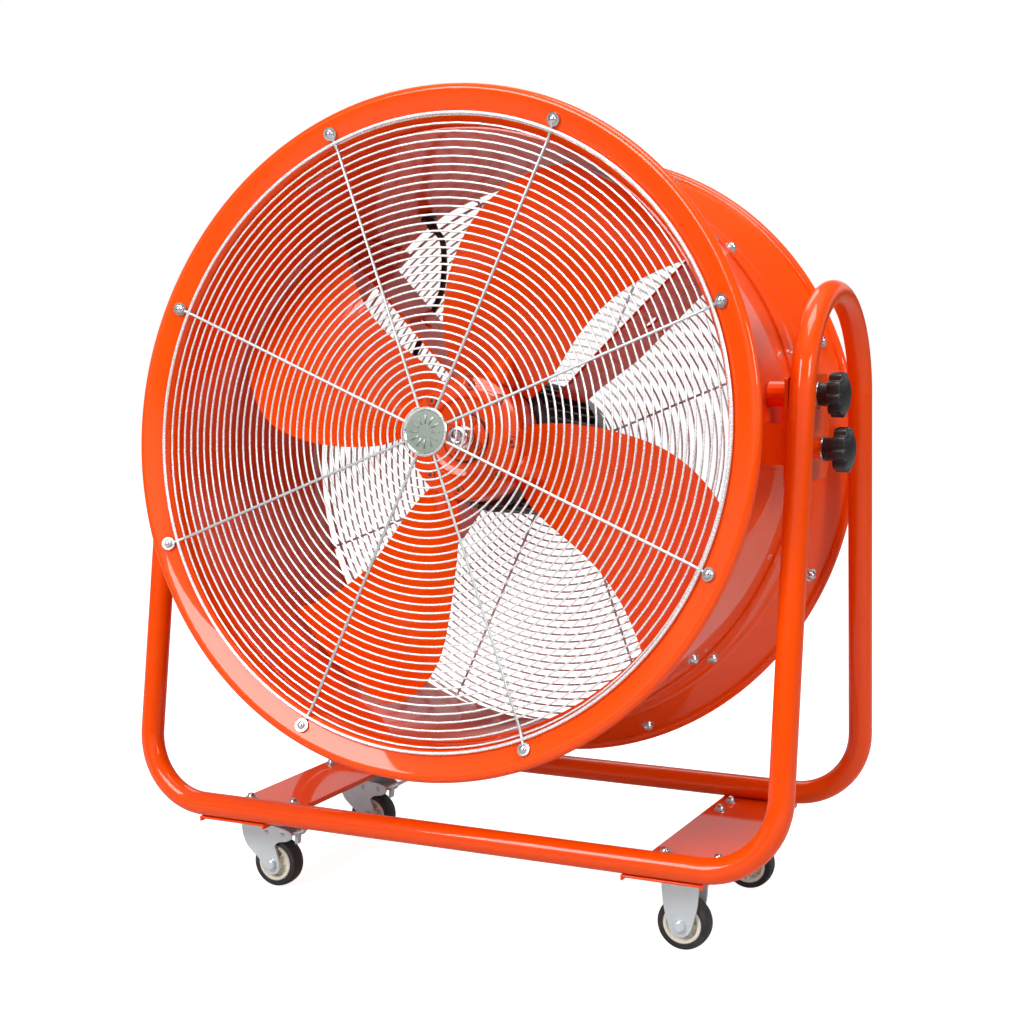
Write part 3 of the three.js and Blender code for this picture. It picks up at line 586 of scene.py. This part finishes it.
def makeTerminalBox():
    dress("terminal_box", "paint", 1.2)
    dress("terminal_box_lid", "paint", 0.8)
    head = spun(lathe([(0, 1.6), (1.2, 1.6), (1.5, 2.4), (3, 2.4), (3.8, 1.6), (3.8, 0)], 20), 90, "X")
    screws = [moved(head, x=x, y=y, z=terminal["top"] - 0.3) for x in (-36, 36) for y in (-34, 60)]
    piece("lidScrews", atAngle(joined(*screws), terminal["angle"]), "screwZinc", "drum", (), drumFrame)
    dial = [(0, 6.2), (12, 6.2), (13, 5.2), (13, 0.4), (0, 0.4)]
    grip = slab(rounded([(-11.6, 5.6), (11.6, 5.6), (11, 13), (-11, 13)], 2.2), -2.9, 2.9)
    switch = joined(spun(lathe([(r, y) for r, y in dial], 48), 90, "X"), grip)
    piece("switchGrip", atAngle(moved(switch, y=10, z=364), terminal["angle"]), "knobBlack", "switch",
          ["switch_knob"], drumFrame)
    plate = [(0, 2.9), (17.4, 2.9), (18, 2.3), (18, 0)]
    piece("switchPlate", atAngle(moved(spun(lathe(plate, 48), 90, "X"), y=10, z=terminal["top"] - 0.2),
                                 terminal["angle"]), "knobBlack", "drum", (), drumFrame)
    hexes = lathe([(0, 66.2), (11.6, 66.2), (12, 66.8), (12, 71.4), (11.4, 72)], 6)
    sleeve = lathe([(11, 72), (10.4, 74), (9.6, 80), (5, 80.4), (4.6, 79), (0, 79)], 32)
    piece("powerGland", atAngle(moved(joined(hexes, sleeve), z=336), terminal["angle"]), "knobBlack",
          "drum", (), drumFrame, sharp=30)


# ---- tilt clamps ----
clamp = {"pivotY": -25.2, "lock": 54, "lobes": 9, "dip": 3.4}


def starShape(x0):
    rows = [(0, 9.4, 0), (0, 11.2, 0), (0.8, 11.6, 0), (10.4, 11.6, 0), (11.2, 12.6, 0.1), (11.4, 19.4, 0.8),
            (11.8, 21.6, 1), (12.6, 22.4, 1), (14, 22.6, 1), (23.8, 22.6, 1), (24.8, 22.2, 1),
            (25.3, 21.2, 0.9), (25.8, 19.6, 0.3), (27, 17, 0), (28.4, 12.6, 0), (29.4, 7, 0),
            (29.7, 0.001, 0)]
    steps = clamp["lobes"] * 16
    points, faces = [], []
    for x, r, depth in rows:
        for k in range(steps):
            wave = 0.5 + 0.5 * math.cos(clamp["lobes"] * 2 * pi * k / steps)
            rr = r - depth * clamp["dip"] * (1 - wave) ** 2.4
            a = 2 * pi * k / steps
            points.append(Vector((x0 + x, rr * math.cos(a), rr * math.sin(a))))
    for i in range(len(rows) - 1):
        for k in range(steps):
            a, b = i * steps, (i + 1) * steps
            faces.append([a + k, a + (k + 1) % steps, b + (k + 1) % steps, b + k])
    faces.append(list(range(steps)))
    return points, faces


def alongX(profile, steps):  # (radius, x) pairs turned about X
    return spun(lathe(profile, steps), -90, "Z")


def makeClamps():
    for name, gap, spacer, z in (("pivot", 365.8, 0.1, 0), ("lock", 352.2, 6.4, clamp["lock"])):
        face = gap + spacer + 0.3
        washer = [(0, face), (12.2, face), (12.6, face + 0.4), (12.6, face + 1.8), (0, face + 1.8)]
        sleeve = [(0, 322), (5.9, 322), (5.9, gap + 0.4), (11.4, gap + 0.4), (11.4, face)]
        for side in (1, -1):
            tag = "right" if side > 0 else "left"
            body = f"{name}_knob_{tag}"
            hand = (lambda s: s) if side > 0 else mirrored
            star = hand(moved(starShape(face + 1.8), y=clamp["pivotY"], z=z))
            piece(f"{name}Star_{tag}", star, "knobBlack", body, [body], drumFrame, sharp=50)
            metal = hand(moved(joined(alongX(washer, 40), alongX(sleeve, 32)), y=clamp["pivotY"], z=z))
            piece(f"{name}Stud_{tag}", metal, "screwZinc", body, (), drumFrame)
    for tag in ("right", "left"):
        dress("side_mount_" + tag, "paint", 0.9)
        dress("pivot_plate_" + tag, "paint", 0.7)
    print("clamps made")


# ---- cradle ----
cradle = {"radius": 12.7, "sideX": 365.2, "railZ": 102, "corner": 76, "frontY": -163, "frontLean": 0.148,
          "rearY": 148, "rearLean": -0.058, "archZ": 545}


def bend(centre, a, b, steps):
    u, v = a - centre, b - centre
    axis, angle = u.cross(v).normalized(), u.angle(v)
    return [centre + Matrix.Rotation(angle * i / steps, 3, axis) @ u for i in range(steps + 1)]


def railCorner(side, y, lean):
    up = Vector((0, lean, 1)).normalized()
    foot = Vector((side * cradle["sideX"], y, cradle["railZ"]))
    onRail = foot + Vector((-side * cradle["corner"], 0, 0))
    onPost = foot + up * cradle["corner"]
    return bend(onRail + up * cradle["corner"], onRail, onPost, 18)


def archPath(side):  # from the front post over to the rear post
    c = cradle
    upF, upR = Vector((0, c["frontLean"], 1)).normalized(), Vector((0, c["rearLean"], 1)).normalized()
    yf = c["frontY"] + c["frontLean"] * (c["archZ"] - c["railZ"])
    yr = c["rearY"] + c["rearLean"] * (c["archZ"] - c["railZ"])
    r = (yr - yf) / (1 / upF.z + 1 / upR.z)
    centre = Vector((side * c["sideX"], yf + r / upF.z, c["archZ"]))
    touchF = centre + Vector((0, -upF.z, upF.y)) * r
    touchR = centre + Vector((0, upR.z, -upR.y)) * r
    crown = centre + Vector((0, 0, r))
    return bend(centre, touchF, crown, 20) + bend(centre, crown, touchR, 20)[1:]


def makeCradle():
    c = cradle
    path = railCorner(1, c["frontY"], c["frontLean"]) + archPath(1)
    path += railCorner(1, c["rearY"], c["rearLean"])[::-1] + railCorner(-1, c["rearY"], c["rearLean"])
    path += archPath(-1)[::-1] + railCorner(-1, c["frontY"], c["frontLean"])[::-1]
    full = []
    for i, p in enumerate(path):  # long straights get a few steps of their own
        full.append(p)
        q = path[(i + 1) % len(path)]
        if (q - p).length > 60:
            full += [p.lerp(q, t / 6) for t in range(1, 6)]
    piece("cradleTube", tube(full, c["radius"], 40, True), "paint", "cart",
          ["front_rail", "rear_rail", "side_loop_right", "side_loop_left"], sharp=60)


plateLook = {"x0": 208, "x1": 292, "lip": 83.2, "top": 89, "thick": 2.7, "front": -169, "back": 155}
casterAt = {"x": 252, "front": -103.5, "rear": 107, "boltX": 28.6, "boltY": 18.5}


def makeCrossPlates():
    p = plateLook
    t = p["thick"]
    outer = [(p["x0"], p["lip"]), (p["x0"] + t, p["lip"]), (p["x0"] + t, p["top"] - t),
             (p["x1"] - t, p["top"] - t), (p["x1"] - t, p["lip"]), (p["x1"], p["lip"]), (p["x1"], p["top"]),
             (p["x0"], p["top"])]
    sheet = slabY(outer, p["front"], p["back"])
    shank = spun(lathe([(0, 79.6), (3.8, 79.6), (3.8, 90), (0, 90)], 16), 90, "X")
    cap = lathe([(r * 0.93, y * 0.93 + p["top"] - 0.1) for r, y in domeNut], 28)
    bolts = []
    for cy in (casterAt["front"], casterAt["rear"]):
        for dx in (-1, 1):
            for dy in (-1, 1):
                bolts.append(moved(joined(shank, spun(cap, 90, "X")),
                                   x=casterAt["x"] + dx * casterAt["boltX"], y=cy + dy * casterAt["boltY"]))
    for tag, hand in (("right", lambda s: s), ("left", mirrored)):
        piece("crossPlate_" + tag, hand(sheet), "paint", "cart", ["cross_plate_" + tag], bevel=1.1)
        piece("casterBolts_" + tag, hand(joined(*bolts)), "screwZinc", "cart")
    print("cradle made")


# ---- casters ----
wheel = {"r": 27.5, "trail": 20, "legIn": 13.2, "legOut": 15.8}


def upright(profile, steps):  # (radius, z) pairs turned about Z
    return spun(lathe(profile, steps), 90, "X")


def legs(outline):
    outline = rounded(outline, 5)
    return joined(*[slabY(outline, min(a, b), max(a, b)) for a, b in
                    ((wheel["legIn"], wheel["legOut"]), (-wheel["legOut"], -wheel["legIn"]))])


def wheelPieces(tag, x, y, body):
    at = Matrix.Translation((x, y, wheel["r"]))
    core = [(4.35, -11.8), (8.4, -11.8), (8.9, -11), (9, -7), (10, -6.2), (14.4, -6), (15.6, -7.2),
            (16.2, -9.6), (16.8, -10.2), (19.4, -10.2), (20.2, -9.4)]
    core = core + [(r, -c) for r, c in reversed(core)]
    spokes = ringOf(slab(rounded([(-8.6, 8), (8.6, 8), (8.6, 16.4), (-8.6, 16.4)], 1.4), -0.8, 0.8), 8)
    tyre = [(20.3, -9.6), (20.8, -10), (24.6, -10)]
    tyre += [(25.8, -9.4), (26.6, -8), (27.1, -5.6), (27.4, -2.8), (27.5, 0), (27.4, 2.8), (27.1, 5.6),
             (26.6, 8), (25.8, 9.4), (24.6, 10), (20.8, 10), (20.3, 9.6)]
    side, _, where = tag.partition("_")
    piece(f"wheelCore_{tag}", joined(lathe(core, 72, True), spokes), "wheelCream", body,
          [f"{side}_core_{where}"], at)
    piece(f"wheelTyre_{tag}", lathe(tyre, 96, True), "tyreBlack", body, [f"{side}_tyre_{where}"], at)


def axleShape():
    nut = lathe([(0, 16), (5.9, 16), (6.3, 16.5), (6.3, 19.4), (5.6, 20.6), (4, 20.7), (0, 20.7)], 6)
    headEnd = lathe([(0, -20.4), (4.4, -20.4), (5.8, -19.4), (6.2, -18), (6.2, -16), (0, -16)], 28)
    pin = lathe([(0, -16.4), (3.9, -16.4), (3.9, 16.4), (0, 16.4)], 28)
    return joined(nut, headEnd, pin)


def makeCasters():
    z = wheel["r"]
    reach = wheel["trail"]
    plate = [(-36, -27), (36, -27), (36, 27), (-36, 27)]
    flat = slab(rounded(plate, 6), 83.2, 86)
    flat = ([Vector((p[1], p[2], p[0])) for p in flat[0]], flat[1])
    race = upright([(0, 83.4), (24, 83.4), (24.6, 82.6), (24.2, 80.4), (22.6, 79.3), (0, 79.3)], 56)
    swivelLeg = [(-18.8, 75), (-18.6, 60), (-13, 46), (reach - 13, 29), (reach - 9, z - 8), (reach, z - 12.4),
                 (reach + 9, z - 9), (reach + 10.4, z + 2), (reach + 7, z + 13), (reach + 4, z + 22),
                 (reach + 9, 53.6), (reach + 20, 55.4), (reach + 27, 59), (reach + 27, 66),
                 (reach + 20, 69.4), (19, 72.4), (18.8, 75)]
    rigidLeg = [(-20, 84), (-20, 68), (-18, 47), (-12, z - 3), (-7, z - 10), (0, z - 12.4), (7, z - 10),
                (12, z - 3), (18, 47), (20, 68), (20, 84)]
    crown = slab(rounded([(-18.8, -15.8), (18.8, -15.8), (18.8, 15.8), (-18.8, 15.8)], 5), 72.4, 75.2)
    crown = ([Vector((p[1], p[2], p[0])) for p in crown[0]], crown[1])
    collar = upright([(14, 75.1), (23, 75.1), (23.4, 75.6), (23.4, 78.4), (23, 79), (14, 79)], 56)
    pedal = slabY(rounded([(13, 60), (30, 59.4), (42, 61.4), (52, 65.2), (62, 69), (61.4, 71.2), (51, 67.4),
                           (41, 64.6), (30, 63.4), (14, 63)], 3), -12, 12)
    ribs = [slabY(rounded([(x, zz), (x + 3, zz + 1.2), (x + 2.8, zz + 3), (x, zz + 2)], 0.5, 2), -11, 11)
            for x, zz in ((45, 64.2), (51, 66.6), (56.6, 68.6))]
    ribs.append(slabY(rounded([(43, 49.6), (47.4, 50.6), (48.4, 64), (44, 63)], 1.4), -3.4, 3.4))
    bar = lathe([(0, -12.3), (2.4, -12.3), (2.4, 12.3), (0, 12.3)], 20)
    rivet = lathe([(0, 1.5), (1.6, 1.3), (2.6, 0.5), (2.8, -0.4), (0, -0.4)], 20)
    rivets = [moved(spun(rivet, 0 if s > 0 else 180, "X"), x=x, y=s * wheel["legOut"], z=zz)
              for s in (1, -1) for x, zz in ((14, 63.4), (35, 63))]
    for tag in ("front", "rear"):
        y = casterAt[tag]
        left = Matrix.Translation((-casterAt["x"], y, 0))
        piece(f"casterTop_{tag}", joined(flat, race), "casterZinc", "cart", [f"swivel_plate_{tag}"], left,
              bevel=0.5)
        piece(f"casterCollar_{tag}", collar, "collarOrange", f"swivel_{tag}", (), left)
        fork = joined(crown, legs(swivelLeg), *rivets)
        piece(f"casterFork_{tag}", fork, "casterZinc", f"swivel_{tag}", [f"swivel_fork_{tag}"], left,
              bevel=0.7)
        treadle = joined(pedal, moved(bar, x=22, z=61.4), *ribs)
        piece(f"brakeTread_{tag}", treadle, "casterZinc", f"pedal_{tag}", [f"brake_pedal_{tag}"], left,
              bevel=0.4)
        axleAt = left @ Matrix.Translation((reach, 0, z))
        piece(f"axleLeft_{tag}", axleShape(), "casterZinc", f"swivel_{tag}", [f"left_axle_{tag}"], axleAt)
        wheelPieces(f"left_{tag}", -casterAt["x"] + reach, y, f"left_wheel_{tag}")
        right = Matrix.Translation((casterAt["x"], y, 0))
        piece(f"casterBracket_{tag}", joined(flat, legs(rigidLeg)), "casterZinc", "cart",
              [f"rigid_bracket_{tag}"], right, bevel=0.7)
        piece(f"axleRight_{tag}", axleShape(), "casterZinc", "cart", [f"right_axle_{tag}"],
              right @ Matrix.Translation((0, 0, z)))
        wheelPieces(f"right_{tag}", casterAt["x"], y, f"right_wheel_{tag}")
    print("casters made")


makeDrum()
makeFasteners()
makeGuards()
makeFan()
makeMotor()
makeTerminalBox()
makeClamps()
makeCradle()
makeCrossPlates()
makeCasters()


# ---- studio ----
studio = {"worldSeen": 1.0, "worldLight": 0.23,
          "gloss": [(0, 0.01), (0.46, 0.03), (0.55, 0.05), (0.6, 0.75), (0.66, 0.75), (0.7, 0.12),
                    (0.86, 0.1), (0.92, 0.6), (1, 0.6)],
          "floor": 0.55, "floorGlow": 0.9, "floorFill": 0.03,
          "lamps": [("keyLamp", (-0.9, -2.8, 2.2), (0, 0, 0.5), 1.4, 90),
                    ("sideLamp", (3.0, -1.2, 1.9), (0.2, 0, 0.5), 0.8, 34),
                    ("topLamp", (0.5, -0.3, 3.2), (0, 0, 0.4), 1.4, 56),
                    ("backLamp", (-1.4, 1.9, 3.0), (0, 0, 0.5), 1.4, 20)]}
view = {"place": (0.8208, -1.6767, 0.6156), "yaw": 25.74, "pitch": -5.95, "roll": -0.43, "lens": 60.05}


def makeStudio():
    world = bpy.data.worlds.new("studio")
    bpy.context.scene.world = world
    world.use_nodes = True
    nodes, links = world.node_tree.nodes, world.node_tree.links
    back = nodes["Background"]
    path = nodes.new("ShaderNodeLightPath")
    height = nodes.new("ShaderNodeSeparateXYZ")  # what shiny pieces reflect: dark low down, pale bands above
    links.new(nodes.new("ShaderNodeTexCoord").outputs["Generated"], height.inputs["Vector"])
    lift = nodes.new("ShaderNodeMapRange")
    lift.inputs["From Min"].default_value = -1
    links.new(height.outputs["Z"], lift.inputs["Value"])
    bands = nodes.new("ShaderNodeValToRGB")
    links.new(lift.outputs["Result"], bands.inputs["Fac"])
    stops = bands.color_ramp.elements
    while len(stops) < len(studio["gloss"]):
        stops.new(0.5)
    for stop, (at, level) in zip(stops, studio["gloss"]):
        stop.position = at
    for stop, (at, level) in zip(stops, studio["gloss"]):
        stop.color = (level, level, level, 1)
    glossy = nodes.new("ShaderNodeMix")
    glossy.inputs["A"].default_value = studio["worldLight"]
    links.new(path.outputs["Is Glossy Ray"], glossy.inputs["Factor"])
    links.new(bands.outputs["Color"], glossy.inputs["B"])
    seen = nodes.new("ShaderNodeMix")
    seen.inputs["B"].default_value = studio["worldSeen"]
    links.new(path.outputs["Is Camera Ray"], seen.inputs["Factor"])
    links.new(glossy.outputs["Result"], seen.inputs["A"])
    links.new(seen.outputs["Result"], back.inputs["Strength"])
    back.inputs["Color"].default_value = (1, 1, 1, 1)
    size = 14
    mesh = bpy.data.meshes.new("floor")
    mesh.from_pydata([(-size, -size, 0), (size, -size, 0), (size, size, 0), (-size, size, 0)], [],
                     [(0, 1, 2, 3)])
    floor = bpy.data.objects.new("floor", mesh)
    bpy.context.scene.collection.objects.link(floor)
    material = bpy.data.materials.new("floorPaper")
    material.use_nodes = True
    shader = material.node_tree.nodes["Principled BSDF"]
    shader.inputs["Base Color"].default_value = (studio["floor"],) * 3 + (1,)
    shader.inputs["Roughness"].default_value = 0.9
    shader.inputs["Specular IOR Level"].default_value = 0.1
    shader.inputs["Emission Color"].default_value = (1, 1, 1, 1)
    seen = material.node_tree.nodes.new("ShaderNodeLightPath")
    glow = material.node_tree.nodes.new("ShaderNodeMapRange")
    glow.inputs["To Min"].default_value = studio["floorFill"]
    glow.inputs["To Max"].default_value = studio["floorGlow"]
    material.node_tree.links.new(seen.outputs["Is Camera Ray"], glow.inputs["Value"])
    material.node_tree.links.new(glow.outputs["Result"], shader.inputs["Emission Strength"])
    mesh.materials.append(material)
    for name, place, aim, width, power in studio["lamps"]:
        data = bpy.data.lights.new(name, "AREA")
        data.size = width
        data.energy = power
        lamp = bpy.data.objects.new(name, data)
        lamp.location = place
        lamp.rotation_euler = (Vector(aim) - Vector(place)).to_track_quat("-Z", "Y").to_euler()
        bpy.context.scene.collection.objects.link(lamp)
    bpy.context.scene.view_settings.view_transform = "Standard"


def makeCamera():
    yaw, pitch, roll = (math.radians(view[k]) for k in ("yaw", "pitch", "roll"))
    right = Vector((math.cos(yaw), math.sin(yaw), 0))
    ahead = Vector((-math.sin(yaw) * math.cos(pitch), math.cos(yaw) * math.cos(pitch), math.sin(pitch)))
    up = right.cross(ahead)
    side = right * math.cos(roll) + up * math.sin(roll)
    top = up * math.cos(roll) - right * math.sin(roll)
    turn = Matrix((side, top, -ahead)).transposed().to_4x4()
    data = bpy.data.cameras.new("camera")
    data.lens = view["lens"]
    data.sensor_width = 36
    camera = bpy.data.objects.new("camera", data)
    camera.matrix_world = Matrix.Translation(view["place"]) @ turn
    bpy.context.scene.collection.objects.link(camera)
    bpy.context.scene.camera = camera


makeStudio()
makeCamera()
print("studio made")
